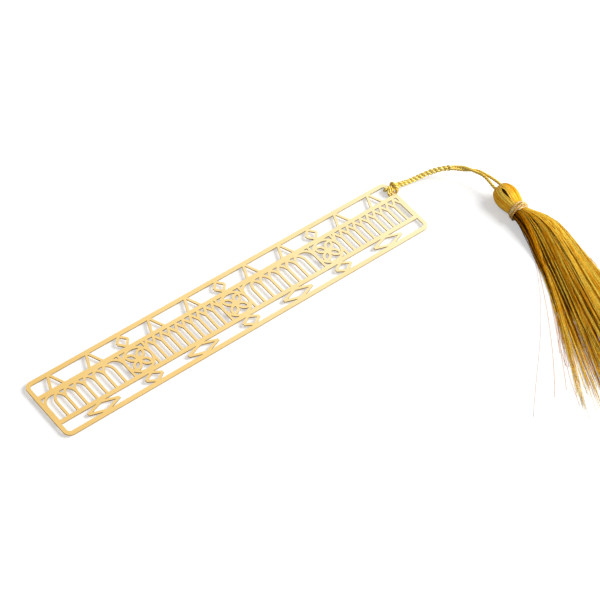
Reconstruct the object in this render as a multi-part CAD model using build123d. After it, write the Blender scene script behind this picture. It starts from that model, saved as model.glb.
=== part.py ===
from build123d import *
from build123d.topology import SkipClean

import os
from math import atan2, cos, degrees, pi, radians, sin, sqrt, tan

# A flat brass page marker with a fretted middle and a silk tassel hitched to its end bar.
# Millimetres. X runs along the plate to the tassel, Y across the plate, Z up from the table.

# Plate
plate_length = 125.0
plate_width = 20.0
plate_thickness = 0.4
corner_radius = 2.2
window_corner_radius = 1.0
edge_band = 1.25
end_bar = 1.2
rail_width = 1.2
upper_gap = 3.9
lower_gap = 3.2

# Fretwork
stroke = 0.75
rosette_count = 3
arcade_pitches = 8
petal_half_width = 1.25
boss_radius = 0.85
chevron_posts = 10
chevron_height = 2.4
gable_half_width = 2.3
long_lozenge = 10.0
short_lozenge = 5.4
upper_lozenge = 3.6

# Cord: one strand, doubled, hitched round the end bar, where its turns swell a little
cord_sides = 6
strand_radius = 0.33
strand_gap = 0.05
hitch_strand_radius = 0.39
hitch_clearance = 0.04
hitch_bend = 0.46
hitch_rail_gap = 0.15
bight_step = 0.2
leg_run_out = 0.5
joint_clearance = 0.06
seat_margin = 0.3

# Route of the doubled cord, from the hitch's exit, and of its two legs beyond the split
sway_to_lift = (2.0, -0.3, -0.35)
cord_route = [(5.6, -0.85, -0.35), (9.7, -1.75, 0.7), (13.5, -3.6, 1.9), (16.3, -6.1, 2.8)]
leg_route = [(19.75, -10.5, 3.5), (21.1, -14.4, 3.5), (22.0, -18.0, 2.04)]
leg_spread = [0.5, 0.8, 1.15]
leg_first_run = 2.4

# Tassel: a hank folded over the cord's knot, bound at the neck and fanned out on the table
tassel_heading = -96.0
tassel_pitch = 2.8
head_top_gap = 0.55
head_length = 7.8
head_radius = 3.45
mouth_radius = 1.55
mouth_lip = 0.6
neck_radius = 2.6
neck_length = 2.6
parting_length = 5.4
parting_width = 0.6
parting_start = 1.95
parting_turn = 27.0
crown_runs = 4
shoulder_runs = 3

knot_radius = 1.75
knot_turns = 2
knot_depth = 2.0
knot_clearance = 0.12

binding_sides = 5
binding_radius = 0.16
binding_pitch = 0.75
binding_turns = 2.75
binding_clearance = 0.03

skirt_heading = -107.0
skirt_length = 70.0
skirt_half_spread = 18.0
skirt_depth = 4.8
ruff_length = 0.9
ruff_radius = 2.8
strand_layers = 12
strand_columns = 25
strand_sides = 3
strand_width = 0.36
strand_height = 0.13
overrun = 1.0

# Shapes of the head and the skirt as shares of their sizes
head_belly_share = 0.45
station_shares = [0.15, 1.0]
half_width_shares = [0.3, 1.0]
shift_shares = [0.285, 0.16]
depth_shares = [1.0, 0.42]
strand_shares = [0.9, 1.0]
root_strand_share = 0.36
dome_edge_share = 0.7
ragged_share = 0.2
root_fill_share = 0.82
arc_run_share = 0.45
tip_length_share = 0.8
tip_radius_share = 0.6
golden_share = 0.6180339887
gable_shares = [0.25, 0.75]

# Levels across the plate
top_inner = plate_width / 2 - edge_band
head_rail_top = top_inner - upper_gap
head_rail_low = head_rail_top - rail_width
low_rail_low = -plate_width / 2 + edge_band + lower_gap
low_rail_top = low_rail_low + rail_width
head_rail_mid = (head_rail_top + head_rail_low) / 2
low_rail_mid = (low_rail_top + low_rail_low) / 2
top_band_mid = top_inner + edge_band / 2
upper_mid = (top_inner + head_rail_top) / 2
lower_mid = low_rail_low - lower_gap / 2
middle_height = head_rail_low - low_rail_top
middle_mid = (head_rail_low + low_rail_top) / 2
inner_half = plate_length / 2 - end_bar

# Rhythm along the plate: arcades and rosettes in turn
rosette_radius = middle_height / 2
arcade_length = (2 * inner_half - rosette_count * 2 * rosette_radius) / (rosette_count + 1)
bay_step = arcade_length + 2 * rosette_radius
arcade_starts = [-inner_half + i * bay_step for i in range(rosette_count + 1)]
arcade_mids = [start + arcade_length / 2 for start in arcade_starts]
rosette_mids = [start + arcade_length + rosette_radius for start in arcade_starts[:rosette_count]]

# Hitch, measured from the middle of the end bar
leg_side = strand_radius + strand_gap / 2
hitch_leg_side = hitch_strand_radius + strand_gap / 2
loop_side = hitch_leg_side + 2 * hitch_strand_radius + strand_gap
hitch_half_width = loop_side + hitch_strand_radius
hitch_y = head_rail_top + hitch_rail_gap + hitch_half_width
over_bar = plate_thickness / 2 + hitch_clearance + hitch_strand_radius
beside_bar = end_bar / 2 + hitch_clearance + hitch_strand_radius
bight_x = beside_bar + bight_step
bight_z = over_bar + 2 * hitch_strand_radius + hitch_clearance
bar_z = over_bar + hitch_strand_radius
plate_z = bar_z - plate_thickness / 2
leg_end = bight_x + hitch_strand_radius + leg_run_out
cord_radius = 2 * strand_radius + strand_gap

# The origin lies under the middle of the plate and the hitch's legs taken together
plate_x = -(leg_end - end_bar / 2) / 2
bar_x = plate_x + plate_length / 2 - end_bar / 2

# Points of the cord
exit_point = Vector(bar_x + leg_end + joint_clearance + cord_radius, hitch_y, bar_z + over_bar)
lift_point = exit_point + Vector(*sway_to_lift)
cord_points = [lift_point] + [exit_point + Vector(*offset) for offset in cord_route]
mouth_point = exit_point + Vector(*leg_route[-1])


def bar_stroke(start, end, width=stroke):
    """A straight stroke between two points."""
    run = Vector(*end) - Vector(*start)
    middle = (Vector(*start) + Vector(*end)) / 2
    return Pos(middle.X, middle.Y) * Rot(0, 0, degrees(atan2(run.Y, run.X))) * Rectangle(run.length, width)


def arc_stroke(start, end, rise, width=stroke):
    """A curved stroke that rises to the left of the way from start to end."""
    run = Vector(*end) - Vector(*start)
    half = run.length / 2
    radius = (half * half + rise * rise) / (2 * rise)
    left = Vector(-run.Y, run.X) / run.length
    centre = (Vector(*start) + Vector(*end)) / 2 - left * (radius - rise)
    heading = degrees(atan2(left.Y, left.X))
    half_angle = degrees(atan2(half, radius - rise))
    outer = CenterArc(centre, radius + width / 2, heading - half_angle, 2 * half_angle)
    inner = CenterArc(centre, radius - width / 2, heading - half_angle, 2 * half_angle)
    return make_face([outer, Line(outer @ 1, inner @ 1), inner, Line(inner @ 0, outer @ 0)])


def arcade_strokes(start):
    """Posts under interlaced round arches, each arch two pitches wide."""
    pitch = arcade_length / arcade_pitches
    spring = head_rail_low - pitch
    posts = [start + i * pitch for i in range(arcade_pitches + 1)]
    strokes = [bar_stroke((x, low_rail_mid), (x, spring)) for x in posts]
    strokes += [arc_stroke((left, spring), (right, spring), pitch) for left, right in zip(posts, posts[2:])]
    return strokes


def leaf(length, half_width):
    """A pointed leaf outline of two arcs along X, drawn inside its length and width."""
    half = length / 2
    radius = (half * half + half_width * half_width) / (2 * half_width)
    sides = [Pos(0, radius - half_width), Pos(0, half_width - radius)]
    outer, inner = [sides[0] * Circle(size) & sides[1] * Circle(size) for size in (radius, radius - stroke)]
    return outer - inner


def rosette_strokes(x):
    """A ring between two posts, with four leaf petals and a centre boss."""
    centre = Pos(x, middle_mid)
    ring = Circle(rosette_radius + stroke / 2) - Circle(rosette_radius - stroke / 2)
    strokes = [centre * ring, centre * Circle(boss_radius)]
    petal = Pos(rosette_radius / 2, 0) * leaf(rosette_radius, petal_half_width)
    strokes += [centre * Rot(0, 0, angle) * petal for angle in (45, 135, 225, 315)]
    for side in (-1, 1):
        post = x + side * rosette_radius
        strokes.append(bar_stroke((post, low_rail_mid), (post, head_rail_mid)))
    return strokes


def chevron_strokes(start):
    """Close posts under a zigzag that runs along the head rail."""
    pitch = arcade_length / chevron_posts
    valley = head_rail_low - chevron_height
    posts = [start + i * pitch for i in range(chevron_posts + 1)]
    strokes = [bar_stroke((x, low_rail_mid), (x, valley)) for x in posts]
    for left, right in zip(posts, posts[1:]):
        peak = ((left + right) / 2, head_rail_low)
        strokes += [bar_stroke((left, valley), peak), bar_stroke(peak, (right, valley))]
    return strokes


def gable_strokes(x):
    """A gable standing on the head rail under the top band."""
    top = (x, top_band_mid)
    return [bar_stroke((x + side * gable_half_width, head_rail_mid), top) for side in (-1, 1)]


def lozenge_strokes(x, y, length, height):
    """A diamond between a rail and the plate's edge."""
    half, rise = length / 2, height / 2
    corners = [(x + half, y), (x, y + rise), (x - half, y), (x, y - rise)]
    return [bar_stroke(a, b) for a, b in zip(corners, corners[1:] + corners[:1])]


def etched_plate():
    """The plate, with the patch under the cord kept as a face of its own."""
    frame = RectangleRounded(plate_length, plate_width, corner_radius)
    frame -= RectangleRounded(2 * inner_half, 2 * top_inner, window_corner_radius)
    strokes = [bar_stroke((-inner_half - end_bar / 2, y), (inner_half + end_bar / 2, y), rail_width)
               for y in (head_rail_mid, low_rail_mid)]
    for i, (start, x) in enumerate(zip(arcade_starts, arcade_mids)):
        strokes += chevron_strokes(start) if i % 2 else arcade_strokes(start)
        for share in gable_shares:
            strokes += gable_strokes(start + share * arcade_length)
        strokes += lozenge_strokes(x, lower_mid, long_lozenge, lower_gap)
    for x in rosette_mids:
        strokes += rosette_strokes(x)
        strokes += lozenge_strokes(x, upper_mid, upper_lozenge, upper_gap)
        strokes += lozenge_strokes(x, lower_mid, short_lozenge, lower_gap)
    outline = Sketch() + [frame] + strokes
    seat_depth = end_bar + window_corner_radius
    seat_width = 2 * (hitch_half_width + seat_margin)
    seat = Pos((plate_length - seat_depth) / 2, hitch_y) * Rectangle(seat_depth, seat_width)
    with SkipClean():
        plate = extrude(outline - seat, plate_thickness) + extrude(outline & seat, plate_thickness)
    return Pos(plate_x, 0, plate_z) * plate


def bend_radii(points):
    """The largest arc that each corner's two runs leave room for."""
    radii = []
    for before, corner, after in zip(points, points[1:], points[2:]):
        turn = radians((corner - before).get_angle(after - corner))
        run = min((corner - before).length, (after - corner).length)
        radii.append(arc_run_share * run / tan(turn / 2))
    return radii


def tube(points, radius, radii, name):
    """A cord along straight runs joined by tangent arcs, of few sides to keep its mesh light."""
    path = FilletPolyline(*points, radius=radii) if radii else Line(*points)
    section = Plane(path @ 0, z_dir=path % 0) * RegularPolygon(radius, cord_sides)
    solid = sweep(section, path=path)
    ideal = section.area * path.length
    bends = ", ".join(f"{bend:.2f}" for bend in radii)
    print(f"{name}: length {path.length:.2f}, bend radii {bends}, volume share {solid.volume / ideal:.4f}")
    return solid


def cord_tip(point, way, radius):
    """A blunt tip inside the round end that turns about the point."""
    foot_radius = radius * cos(pi / cord_sides)
    tip = Cone(foot_radius, tip_radius_share * foot_radius, tip_length_share * foot_radius,
               align=(Align.CENTER, Align.CENTER, Align.MIN))
    return Plane(point, z_dir=way) * tip


def cord_hitch():
    """The strand's lark's head: both legs over the bar, round it and under their own bight."""
    half = [(leg_end, hitch_leg_side, over_bar), (-beside_bar, hitch_leg_side, over_bar),
            (-beside_bar, loop_side, -over_bar), (bight_x, loop_side, -over_bar),
            (bight_x, loop_side, bight_z)]
    other = [(x, -y, z) for x, y, z in reversed(half)]
    points = [Vector(bar_x + x, hitch_y + y, bar_z + z) for x, y, z in half + other]
    return tube(points, hitch_strand_radius, [hitch_bend] * (len(points) - 2), "cord_hitch")


def cord_root():
    """The first turn of the doubled cord, tapered to the hitch and square at its far end."""
    run = lift_point - exit_point
    end = lift_point - run.normalized() * (cord_radius + joint_clearance)
    stub = tube([exit_point, end], cord_radius, [], "cord_root")
    return stub + cord_tip(exit_point, -run, cord_radius)


def cord_twist():
    """The doubled cord as far as its legs part."""
    cord = tube(cord_points, cord_radius, bend_radii(cord_points), "cord_twist")
    return cord + cord_tip(lift_point, lift_point - cord_points[1], cord_radius)


def level_side(direction):
    """The level direction to the left of a heading."""
    return Vector(-direction.Y, direction.X, 0).normalized()


def cord_leg(side, name):
    """One leg of the cord from the split to its tip over the tassel's mouth."""
    along = (cord_points[-1] - cord_points[-2]).normalized()
    start = cord_points[-1] + level_side(along) * (side * leg_side)
    points = [start, start + along * leg_first_run]
    middles = [cord_points[-1]] + [exit_point + Vector(*offset) for offset in leg_route]
    for before, middle, spread in zip(middles, middles[1:], leg_spread):
        across = level_side(middle - before) if middle != middles[-1] else nod_axis
        points.append(middle + across * (side * spread))
    leg = tube(points, strand_radius, bend_radii(points), name)
    return leg + cord_tip(points[-1], points[-1] - points[-2], strand_radius)


# Tassel frame: Z along the head from the mouth to the tips, Y up
heading, pitch = radians(tassel_heading), radians(tassel_pitch)
tassel_axis = Vector(cos(heading) * cos(pitch), sin(heading) * cos(pitch), -sin(pitch))
nod_axis = Vector(-sin(heading), cos(heading), 0)
tassel_plane = Plane(mouth_point, x_dir=nod_axis, z_dir=tassel_axis)

knot_top = head_top_gap + knot_depth
knot_length = knot_turns * 2 * strand_radius
head_end = head_top_gap + head_length
neck_end = head_end + neck_length


def tassel_head():
    """The folded-over threads: a hollow bulb with a lipped mouth, a parting and the gathered neck.

    The bulb's outline is drawn as arcs and taken in short straight runs, which keeps its mesh light.
    """
    lip_start = (mouth_radius, head_top_gap + mouth_lip)
    lip_end = (mouth_radius + mouth_lip, head_top_gap)
    belly = (head_radius, head_top_gap + head_belly_share * head_length)
    crown = TangentArc(belly, lip_end, tangent=(0, -1))
    shoulder = TangentArc(belly, (neck_radius, head_end), tangent=(0, 1))
    outline = [lip_start] + [crown @ (1 - i / crown_runs) for i in range(crown_runs)]
    outline += [shoulder @ (i / shoulder_runs) for i in range(shoulder_runs + 1)]
    outline += [(neck_radius, neck_end), (0, neck_end)]
    cavity_radius = knot_radius + knot_clearance
    cavity_top, cavity_end = knot_top - knot_clearance, knot_top + knot_length + knot_clearance
    outline += [(0, cavity_end), (cavity_radius, cavity_end), (cavity_radius, cavity_top),
                (mouth_radius, cavity_top)]
    head = revolve(Plane.XZ * make_face(Polyline(*outline, close=True)), Axis.Z)
    slit_top = head_top_gap + parting_start
    corners = [(0, slit_top), (parting_width / 2, slit_top + parting_length / 2),
               (0, slit_top + parting_length), (-parting_width / 2, slit_top + parting_length / 2)]
    slit = make_face(Polyline(*corners, close=True))
    cut = extrude(Plane.XZ * slit, -(head_radius + overrun))
    return tassel_plane * (head - Rot(0, 0, parting_turn) * cut)


def cord_knot():
    """The stopper knot in the head: wound turns below two short legs."""
    waist = knot_radius - strand_radius / 2
    outline = [(0, knot_top)]
    for turn in range(knot_turns):
        start = knot_top + turn * 2 * strand_radius
        outline += [(waist, start), (knot_radius, start + strand_radius / 2),
                    (knot_radius, start + 3 * strand_radius / 2)]
    outline += [(waist, knot_top + knot_length), (0, knot_top + knot_length)]
    turns = revolve(Plane.XZ * make_face(Polyline(*outline, close=True)), Axis.Z)
    leg_top = strand_radius + joint_clearance
    leg = extrude(RegularPolygon(strand_radius, cord_sides), knot_top + strand_radius - leg_top)
    legs = [Pos(side * leg_spread[-1], 0, leg_top) * leg for side in (-1, 1)]
    return tassel_plane * (turns + legs)


def biarc(start, start_way, end, end_way):
    """Two tangent arcs between two points with given directions."""
    run, way = end - start, start_way + end_way
    bend = 1 - start_way.dot(end_way)
    reach = (-run.dot(way) + sqrt(run.dot(way) ** 2 + 2 * bend * run.dot(run))) / (2 * bend)
    first, second = start + start_way * reach, end - end_way * reach
    middle = (first + second) / 2
    return [Edge.make_tangent_arc(start, start_way, middle),
            Edge.make_tangent_arc(middle, (second - first).normalized(), end)]


def neck_binding():
    """The binding thread: one unbroken winding round the neck, with straight ends."""
    radius = neck_radius + binding_clearance + binding_radius
    wound = binding_turns * binding_pitch
    foot = head_end + (neck_length - wound) / 2
    quarters = round(binding_turns * 4)
    points, ways = [], []
    for quarter in range(quarters + 1):
        angle = quarter * pi / 2
        outward, forward = Vector(cos(angle), sin(angle), 0), Vector(-sin(angle), cos(angle), 0)
        rise = Vector(0, 0, binding_pitch / (2 * pi))
        points.append(outward * radius + Vector(0, 0, foot + binding_pitch * quarter / 4))
        ways.append((forward * radius + rise).normalized())
    edges = [Edge.make_line(points[0] - ways[0] * (2 * binding_radius), points[0])]
    for i in range(quarters):
        edges += biarc(points[i], ways[i], points[i + 1], ways[i + 1])
    edges.append(Edge.make_line(points[-1], points[-1] + ways[-1] * (2 * binding_radius)))
    path = Wire(edges)
    samples = [path @ (i / (quarters * 8)) for i in range(quarters * 8 + 1)]
    gap = min((a - b).length for i, a in enumerate(samples) for b in samples[i + 16:]) - 2 * binding_radius
    print(f"neck_binding: length {path.length:.2f}, least gap to itself {gap:.3f}")
    section = Plane(path @ 0, z_dir=path % 0) * RegularPolygon(binding_radius, binding_sides)
    return tassel_plane * sweep(section, path=path)


def faceted_strand(sections):
    """A thread of flat sides through like outlines that lie in parallel planes."""
    faces = [Face(Wire.make_polygon(sections[0][::-1])), Face(Wire.make_polygon(sections[-1]))]
    for near, far in zip(sections, sections[1:]):
        for k in range(strand_sides):
            corner = (k + 1) % strand_sides
            faces.append(Face(Wire.make_polygon([near[k], near[corner], far[corner], far[k]])))
    return Solid(Shell(faces))


def skirt_strands():
    """Threads in layers, from the neck's round root to a flat fan with uneven tips."""
    along = Vector(cos(radians(skirt_heading)), sin(radians(skirt_heading)), 0)
    across, up = Vector(-along.Y, along.X, 0), Vector(0, 0, 1)
    neck_foot = tassel_plane.from_local_coords(Vector(0, 0, neck_end))
    ground = Vector(neck_foot.X, neck_foot.Y, 0)
    root_radius = root_fill_share * neck_radius
    strands = []
    for index in range(strand_layers * strand_columns):
        layer, column = divmod(index, strand_columns)
        stagger = (layer * golden_share) % 1 - 1 / 2
        level = (layer + 1 / 2) / strand_layers
        u = 2 * (column + 1 / 2 + stagger / 2) / strand_columns - 1
        v = 2 * level - 1
        tip = 1 - ragged_share * ((index * golden_share) % 1)
        root = tassel_plane.from_local_coords(Vector(root_radius * u * sqrt(1 - v * v / 2),
                                                     root_radius * v * sqrt(1 - u * u / 2),
                                                     neck_end + ruff_length / 2))
        dome = dome_edge_share + (1 - dome_edge_share) * (1 - u * u)
        places = [(root, root_strand_share)]
        for i, share in enumerate(station_shares):
            reach = min(share, tip)
            near = station_shares[i - 1] if i else 0
            mix = (reach - near) / (share - near) if i else 1
            width = half_width_shares[i] * mix + half_width_shares[i - 1] * (1 - mix)
            shift = shift_shares[i] * mix + shift_shares[i - 1] * (1 - mix)
            depth = depth_shares[i] * mix + depth_shares[i - 1] * (1 - mix)
            places.append((ground + along * (reach * skirt_length)
                           + across * ((shift + u * width) * skirt_half_spread)
                           + up * (level * dome * depth * skirt_depth), strand_shares[i]))
        sections = []
        for middle, share in places:
            half_across, half_up = across * (share * strand_width / 2), up * (share * strand_height / 2)
            turns = [2 * pi * k / strand_sides - pi / 2 for k in range(strand_sides)]
            sections.append([middle + half_across * cos(turn) - half_up * sin(turn) for turn in turns])
        strands.append(faceted_strand(sections))
    return strands


def tassel_skirt():
    """The loose threads below the neck, fused to the short ruff that gathers them."""
    ruff = Cone(neck_radius, ruff_radius, ruff_length, align=(Align.CENTER, Align.CENTER, Align.MIN))
    return (tassel_plane * Pos(0, 0, neck_end) * ruff).fuse(*skirt_strands())


nodes = {
    "etched_plate": etched_plate(),
    "cord_hitch": cord_hitch(),
    "cord_root": cord_root(),
    "cord_twist": cord_twist(),
    "cord_leg_outer": cord_leg(1, "cord_leg_outer"),
    "cord_leg_inner": cord_leg(-1, "cord_leg_inner"),
    "cord_knot": cord_knot(),
    "tassel_head": tassel_head(),
    "neck_binding": neck_binding(),
    "tassel_skirt": tassel_skirt(),
}

os.makedirs("parts", exist_ok=True)
for node, shape in nodes.items():
    export_step(shape, f"parts/{node}.step")
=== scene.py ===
"""Looks of a fretted brass page marker with a silk tassel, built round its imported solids."""

import math

import bpy
import numpy as np
from mathutils import Matrix, Vector


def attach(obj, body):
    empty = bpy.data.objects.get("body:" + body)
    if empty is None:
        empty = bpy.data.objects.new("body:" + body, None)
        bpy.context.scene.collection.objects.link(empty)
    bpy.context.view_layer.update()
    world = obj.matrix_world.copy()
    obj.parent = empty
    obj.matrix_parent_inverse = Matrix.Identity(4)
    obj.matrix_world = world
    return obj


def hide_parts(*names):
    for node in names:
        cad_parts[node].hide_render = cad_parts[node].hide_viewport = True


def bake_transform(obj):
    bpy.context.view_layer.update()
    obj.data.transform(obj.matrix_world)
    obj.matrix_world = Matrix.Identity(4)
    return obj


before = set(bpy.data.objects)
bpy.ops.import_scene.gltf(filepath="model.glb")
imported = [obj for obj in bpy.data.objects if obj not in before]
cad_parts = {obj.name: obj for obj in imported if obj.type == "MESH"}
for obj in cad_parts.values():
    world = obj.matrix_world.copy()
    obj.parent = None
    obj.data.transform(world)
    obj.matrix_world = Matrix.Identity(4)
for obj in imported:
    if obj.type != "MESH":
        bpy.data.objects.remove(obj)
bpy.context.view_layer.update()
SEED = 20
rng = np.random.default_rng(SEED)
MM = 0.001
TURN = 2 * math.pi
QUARTER = math.pi / 2
WHITE = (1.0, 1.0, 1.0, 1.0)

# Lengths are in millimetres unless a comment says otherwise.
# A name that ends in RUN with two values holds where an eased change starts and how long it takes.

# Camera, fitted to the plate's four corners in the photograph. Angles in radians, clipping in metres.
SENSOR_WIDTH = 36.0
FOCAL_LENGTH = 132.0
CAMERA_AZIMUTH = -0.826163
CAMERA_ELEVATION = 0.888597
CAMERA_ROLL = 0.172242
CAMERA_DISTANCE = 596.0
CAMERA_TARGET = Vector((14.459, -9.2515, 1.02))
CLIP_START = 0.01
CLIP_END = 20.0

# Each lamp: share of the direct light, distance and size in metres, heading and elevation in degrees.
LAMPS = {"key": (0.92, 1.8, 1.2, -30.0, 45.0), "low": (0.08, 1.5, 0.5, -26.0, 26.0)}
LAMP_AIM = Vector((0.03, -0.02, 0.0))
AROUND = 0.23

# Floor, half its width in metres
FLOOR_HALF = 2.0
FLOOR_COLOUR = (0.64, 0.64, 0.64, 1.0)
FLOOR_ROUGHNESS = 0.9
FLOOR_GLOW = 0.48

# Cord: its route from the source, then its two strands of three plies
EXIT = np.array((64.03, 6.635, 1.65))
CORD_ROUTE = [
    (0.0, 0.0, 0.0), (2.0, -0.3, -0.35), (5.6, -0.85, -0.35), (9.7, -1.75, 0.7), (13.5, -3.6, 1.9),
    (16.3, -6.1, 2.8), (19.75, -10.5, 3.5), (21.1, -14.4, 3.5), (22.0, -18.0, 2.04),
]
NOD = EXIT + np.array(CORD_ROUTE[-1])
CORD_STEPS = 40
SPLINE_STEPS = 24
STRAND_HALF_GAP = 0.4
STRAND_PHASE = 0.7
EXIT_GAP = 0.05
EXIT_GAP_RUN = (0.0, 1.2)
PLIES = 3
PLY_OFFSET = 0.25
PLY_RADIUS = 0.22
PLY_PITCH = 2.5
# Painted shade: how much darker a ply's inner side is, in the grooves between plies
PLY_GROOVE_SHADE = 0.7
PLY_SIDES = 8
TIGHT_LENGTH = 17.0
TIGHT_TURNS = 6.5
LOOSE_LENGTH = 8.5
LOOSE_TURNS = 0.5
LEG_HALF_GAP = 1.15
LEG_LENGTH = 6.0
CORD_TONES = ((0.0, 14.0, 20.0, 25.0), (1.0, 1.05, 0.85, 0.65))
CORD_TONE_SPREAD = 0.12

# Hitch round the end bar, from the bar's middle
BAR = np.array((61.14, 6.635, 1.02))
HITCH_HALF = [
    (2.89, 0.4, 0.63), (1.6, 0.42, 0.7), (-0.3, 0.42, 0.86), (-1.25, 0.5, 0.72), (-1.3, 1.05, -0.05),
    (-0.95, 1.3, -0.61), (0.95, 1.3, -0.62), (1.45, 1.3, 0.3), (1.25, 1.1, 1.58),
]
HITCH_SWELL = 0.28
HITCH_SWELL_RISE = 0.5
HITCH_SWELL_END = 2.8
HITCH_SWELL_FADE = 0.6
HITCH_PHASE = 0.3
HITCH_TONES = (0.7, 0.95)

# Tassel, along and round its axis from the nod pivot
TASSEL_AXIS = np.array((-0.104401, -0.993307, -0.04885))
NOD_AXIS = np.array((0.994522, -0.104528, 0.0))
TASSEL_UP = np.cross(TASSEL_AXIS, NOD_AXIS)
TABLE_CLEARANCE = 0.12

# Stopper knot: a leg as radius and place along, two turns of a coil, and the way back through them
KNOT_LEG = [(LEG_HALF_GAP, 0.0), (LEG_HALF_GAP, 0.8), (0.75, 1.8)]
KNOT_RADIUS = 0.95
KNOT_TURNS = 2
KNOT_TURN_POINTS = 8
KNOT_START = 2.9
KNOT_PITCH = 0.7
KNOT_STAGGER = 0.12
KNOT_RETURN = [(0.1, 0.0, 4.7), (0.25, QUARTER, 3.0)]
KNOT_PHASE = 0.1
KNOT_TONES = (0.5, 0.8)

# Head: its profile as radius and place along, then its threads, bundles and parting
HEAD_PROFILE = [
    (1.25, 2.4), (1.4, 1.5), (1.5, 0.95), (1.85, 0.6), (2.4, 0.95), (2.95, 1.9), (3.33, 3.0), (3.45, 4.2),
    (3.36, 5.4), (3.08, 6.6), (2.76, 7.7), (2.6, 8.5), (2.56, 9.4), (2.56, 10.3),
]
HEAD_THREADS = 330
HEAD_STATIONS = 26
HEAD_SIDES = 4
HEAD_THREAD_RADII = (0.07, 0.115)
HEAD_JITTER = 0.4
HEAD_SINK = 0.1
HEAD_UNEVEN = 0.05
HEAD_WANDER = 0.02
HEAD_WAVES = 3
HEAD_WAVES_LENGTH = 8
HEAD_TONE = 0.88
HEAD_TONE_SPREAD = 0.13
HEAD_TONE_LEAST = 0.05
HEAD_BUNDLES = 21
EVEN_BUNDLES = 0.75
BUNDLE_TONE = 0.13
BUNDLE_GATHER = 0.10
BUNDLE_CROWN = 0.13
# Painted shade: threads darken towards the edges of each bundle, where bundles meet
BUNDLE_EDGE_SHADE = 0.3
BUNDLE_EDGE_POWER = 4
PARTING_ANGLE = math.radians(27.0)
PARTING_FROM = 2.5
PARTING_TO = 7.9
PARTING_HALF_WIDTH = 0.5
PARTING_POINT = 0.22
PARTING_CLOSE_RUN = (0.15, 0.85)
PARTING_PUSH = 0.35
# Core: a near-black skin under the threads, painted shade that shows through the parting and between them
CORE_SIDES = 120
CORE_SHADE_TONE = 0.02
CORE_SINK = 0.2
CORE_PARTING_SINK = 0.7
CORE_PARTING_RADIUS = 3.4
CORE_PARTING_EASE = 1.6
CORE_PARTING_LEAST = 0.02

# Neck: irregular turns of two-ply gold thread
NECK_FROM = 8.5
NECK_TO = 10.9
NECK_RADIUS = 2.66
WRAP_POINTS = 14
WRAP_PLIES = 2
WRAP_RADIUS = 0.1
WRAP_SIDES = 5
WRAP_PLY_OFFSET = 0.085
WRAP_PLY_PITCH = 0.9
WRAP_KEPT = 3
WRAP_SECOND_WAVE = 0.5
WRAP_SECOND_RATE = 1.31
WRAP_LIFT_WAVE = 0.06
WRAP_LIFT_RATE = 0.77
WRAP_TONE = 0.52
WRAP_TONE_SPREAD = 0.16
# Painted highlights: a tone that swells and fades along each winding
WRAP_PAINTED_SHINE = 0.3
WRAP_PAINTED_SHINE_RATE = 0.83
# Each winding: start and end along the axis, first angle, turns, height over the neck, wobble.
WINDINGS = [
    (8.6, 10.8, 2.6, 5, 0.04, 0.2), (10.7, 8.8, 4.1, 4, 0.16, 0.45), (8.9, 10.6, 0.6, 3, 0.3, 0.6),
    (10.4, 9.1, 5.2, 2, 0.42, 0.7),
]

# Skirt: the form of its fan along its run, with places across from -1 at the inner edge to 1
SKIRT_HEADING = math.radians(-107.0)
SKIRT_LENGTH = 70.0
ROOT_DEPTH = 2.0
ROOT_RADIUS = 2.4
ROOT_FLATNESS = 0.5
FAN_RISE_RUN = (-2.0, 20.0)
FAN_SPREAD_RUN = (-1.0, 8.0)
FAN_SHIFT = 5.8
FAN_SHIFT_LENGTH = 5.5
FAN_DRIFT = 0.0345
FAN_START = 2.5
FAN_WIDENING = 0.216
FAN_WIDENING_LENGTH = 5.0
FAN_SHOULDER = 1.4
FAN_SHOULDER_LENGTH = 7.0
FAN_DEPTH = 6.4
FAN_DEPTH_LENGTH = 62.0
FAN_DEPTH_LOSS = 0.3
CREST_PLACE = 0.05
CREST_OUTER_DROP = 0.68
CREST_OUTER_POWER = 1.3
CREST_INNER_DROP = 0.78
CREST_INNER_RUN = (0.0, 0.85)

# Skirt: its threads, gathered in wisps and locks
LOCKS = 64
WISPS_A_LOCK = 11
THREADS_A_WISP = 5
SKIRT_STATIONS = 16
SKIRT_SIDES = 3
STATION_POWER = 1.9
THREAD_RADII = (0.045, 0.085)
THREAD_TAPER = 0.65
THREAD_TAPER_RUN = (0.64, 0.36)
NOISE_STEP = 0.37
ACROSS_LIMITS = (-1.1, 1.08)

# Skirt: how far threads reach, as shares of the length
LOCK_REACH = (0.92, 1.02)
INNER_LOCKS = -0.5
SHORT_LOCKS = 0.5
SHORT_LOCK_REACH = (0.66, 0.82)
WISP_REACH = (0.86, 1.05)
THINNED_WISPS = 0.85
THINNED_RUN = (0.4, 0.3)
THINNED_REACH = (0.55, 0.98)
THREAD_SHORTFALL = 0.05

# Skirt: where threads lie across and up
HIGH_LOCKS = 0.45
HIGH_LOCK_SPREAD = 0.045
LOW_LOCK_SPREAD = 0.06
NECK_LOOSE = 1.4
NECK_LOOSE_RUN = (0.0, 26.0)
TIP_GATHER = 0.25
EDGE_GATHER = 0.25
EDGE_RUN = (0.45, 0.4)
TIP_GATHER_RUN = (0.0, 55.0)
THREAD_SPREAD = 0.008
THREAD_GATHER = 0.6
THREAD_GATHER_RUN = (0.0, 30.0)
LOCK_LEAN = 0.04
WISP_LEAN = 0.05
LEAN_RUN = (0.0, 65.0)
LOCK_SWAY = 0.03
LOCK_SWAY_LENGTH = 14.0
WISP_WAVE = 0.01
WISP_WAVE_LENGTH = 8.0
THREAD_WAVE = 0.003
THREAD_WAVE_LENGTH = 5.0
WISP_HEIGHT = 0.2
THREAD_HEIGHT = 0.012
WISP_LIFT = 0.12
WISP_LIFT_RUN = (10.0, 40.0)
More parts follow.
